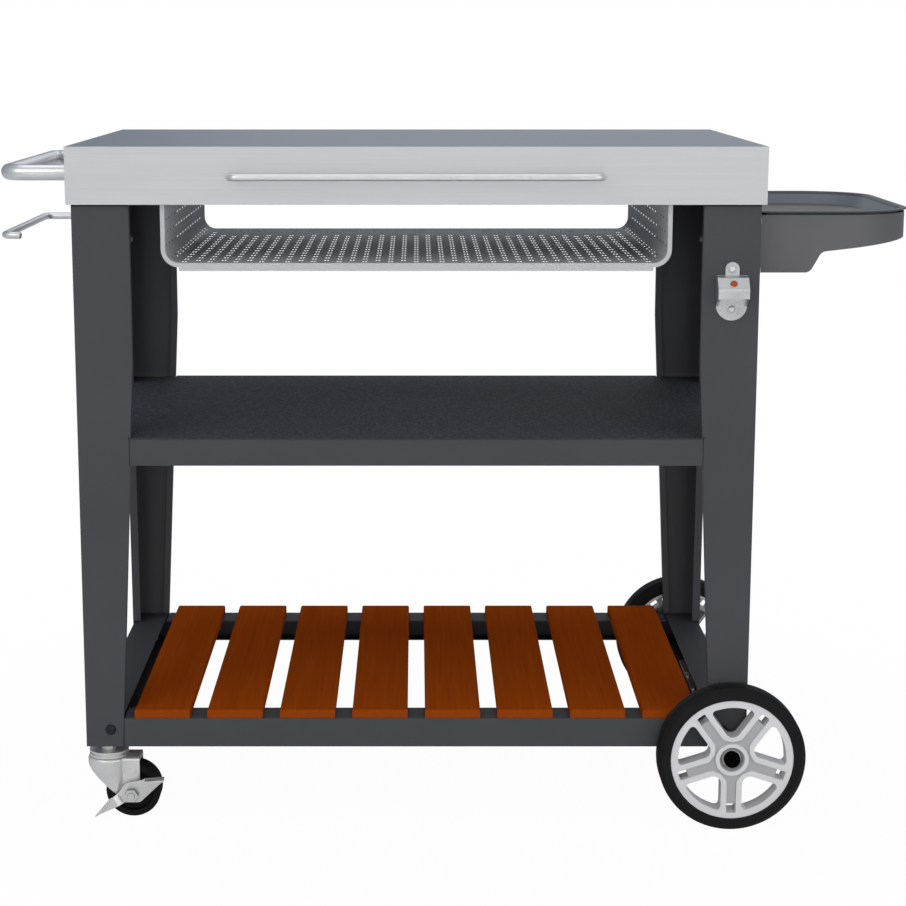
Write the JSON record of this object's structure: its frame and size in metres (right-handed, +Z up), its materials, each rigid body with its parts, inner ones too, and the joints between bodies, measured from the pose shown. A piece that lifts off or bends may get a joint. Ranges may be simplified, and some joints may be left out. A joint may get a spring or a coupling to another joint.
{
  "type": "grill cart",
  "caption": "Outdoor grill cart with a folded steel worktop, hanging perforated tray, middle shelf, wooden slat shelf, push handle, side bin, wheels and braked casters.",
  "frame": {"origin": "on the floor, under the middle of the whole cart's bounding box", "axes": "+X towards the side bin and the big wheels, +Y towards the back, +Z up"},
  "size_m": [1.252, 0.638, 0.92],
  "materials": {
    "worktop_steel": "brushed skirt, fine-grained top",
    "frame_paint": "satin dark grey powder coat",
    "slat_wood": "oiled red-brown hardwood",
    "tray_steel": "perforated stainless sheet",
    "bar_steel": "satin stainless bar and tube",
    "bin_plastic": "smooth dark grey moulding",
    "bin_tray_plastic": "smooth blue-grey moulding",
    "opener_cast": "satin silver casting",
    "zinc_steel": "zinc-plated pressed steel",
    "black_steel": "black oxide",
    "black_plastic": "black nylon",
    "tyre_rubber": "solid black rubber, fine tread",
    "rim_paint": "silver with bright spoke edges",
    "caster_rubber": "black rubber caster wheel"
  },
  "bodies": {
    "cart": {"axle": "zinc_steel", "axle_bracket_front": "zinc_steel", "axle_bracket_rear": "zinc_steel", "axle_caps": "black_plastic", "axle_washers": "zinc_steel", "bin_mount_plate": "frame_paint", "bin_shell": "bin_plastic", "bottle_opener": "opener_cast", "bottom_rail_front": "frame_paint", "bottom_rail_left": "frame_paint", "bottom_rail_rear": "frame_paint", "bottom_rail_right": "frame_paint", "bracket_screws": "zinc_steel", "caster_front_race": "zinc_steel", "caster_rear_race": "zinc_steel", "frame_bolts": "black_steel", "holder_plate": "bar_steel", "leg_front_left": "frame_paint", "leg_front_right": "frame_paint", "leg_rear_left": "frame_paint", "leg_rear_right": "frame_paint", "middle_shelf": "frame_paint", "opener_screws": "zinc_steel", "paper_towel_holder": "bar_steel", "perforated_tray": "tray_steel", "push_handle": "bar_steel", "shelf_skirts": "frame_paint", "side_mount_bolts": "zinc_steel", "skirt_screws": "zinc_steel", "slat_1": "slat_wood", "slat_2": "slat_wood", "slat_3": "slat_wood", "slat_4": "slat_wood", "slat_5": "slat_wood", "slat_6": "slat_wood", "slat_7": "slat_wood", "slat_8": "slat_wood", "slat_screws": "zinc_steel", "stiffener_left": "frame_paint", "stiffener_right": "frame_paint", "top_rail_left": "frame_paint", "top_rail_right": "frame_paint", "towel_bar": "bar_steel", "tray_screws": "zinc_steel", "worktop_panel": "worktop_steel"},
    "lift_out_tray": {"bin_tray": "bin_tray_plastic"},
    "wheel_front": {"wheel_front_tyre": "tyre_rubber", "wheel_front_rim": "rim_paint", "wheel_front_bush": "black_plastic"},
    "caster_front_swivel": {"caster_front_fork": "zinc_steel", "caster_front_axle_bolt": "zinc_steel"},
    "caster_front_roller": {"caster_front_wheel": "caster_rubber"},
    "caster_front_brake": {"caster_front_brake_lever": "zinc_steel"},
    "wheel_rear": {"wheel_rear_tyre": "tyre_rubber", "wheel_rear_rim": "rim_paint", "wheel_rear_bush": "black_plastic"},
    "caster_rear_swivel": {"caster_rear_fork": "zinc_steel", "caster_rear_axle_bolt": "zinc_steel"},
    "caster_rear_roller": {"caster_rear_wheel": "caster_rubber"},
    "caster_rear_brake": {"caster_rear_brake_lever": "zinc_steel"}
  },
  "joints": [
    {"name": "bin_tray_lift", "type": "slide", "parent": "cart", "child": "lift_out_tray", "axis": [0, 0, 1], "range_m": [0, 0.06]},
    {"name": "wheel_front_spin", "type": "hinge", "parent": "cart", "child": "wheel_front", "pos_m": [0.37705, -0.3, 0.1], "axis": [0, 1, 0], "continuous": true},
    {"name": "caster_front_swivel_turn", "type": "hinge", "parent": "cart", "child": "caster_front_swivel", "pos_m": [-0.47495, -0.246, 0.09], "axis": [0, 0, 1], "continuous": true},
    {"name": "caster_front_roll", "type": "hinge", "parent": "caster_front_swivel", "child": "caster_front_roller", "pos_m": [-0.44095, -0.246, 0.0375], "axis": [0, 1, 0], "continuous": true},
    {"name": "caster_front_brake_press", "type": "hinge", "parent": "caster_front_swivel", "child": "caster_front_brake", "pos_m": [-0.44095, -0.2772, 0.0375], "axis": [0, 1, 0], "range_deg": [0, 25]},
    {"name": "wheel_rear_spin", "type": "hinge", "parent": "cart", "child": "wheel_rear", "pos_m": [0.37705, 0.3, 0.1], "axis": [0, 1, 0], "continuous": true},
    {"name": "caster_rear_swivel_turn", "type": "hinge", "parent": "cart", "child": "caster_rear_swivel", "pos_m": [-0.47495, 0.246, 0.09], "axis": [0, 0, 1], "continuous": true},
    {"name": "caster_rear_roll", "type": "hinge", "parent": "caster_rear_swivel", "child": "caster_rear_roller", "pos_m": [-0.44095, 0.246, 0.0375], "axis": [0, 1, 0], "continuous": true},
    {"name": "caster_rear_brake_press", "type": "hinge", "parent": "caster_rear_swivel", "child": "caster_rear_brake", "pos_m": [-0.44095, 0.2772, 0.0375], "axis": [0, 1, 0], "range_deg": [0, 25]}
  ]
}
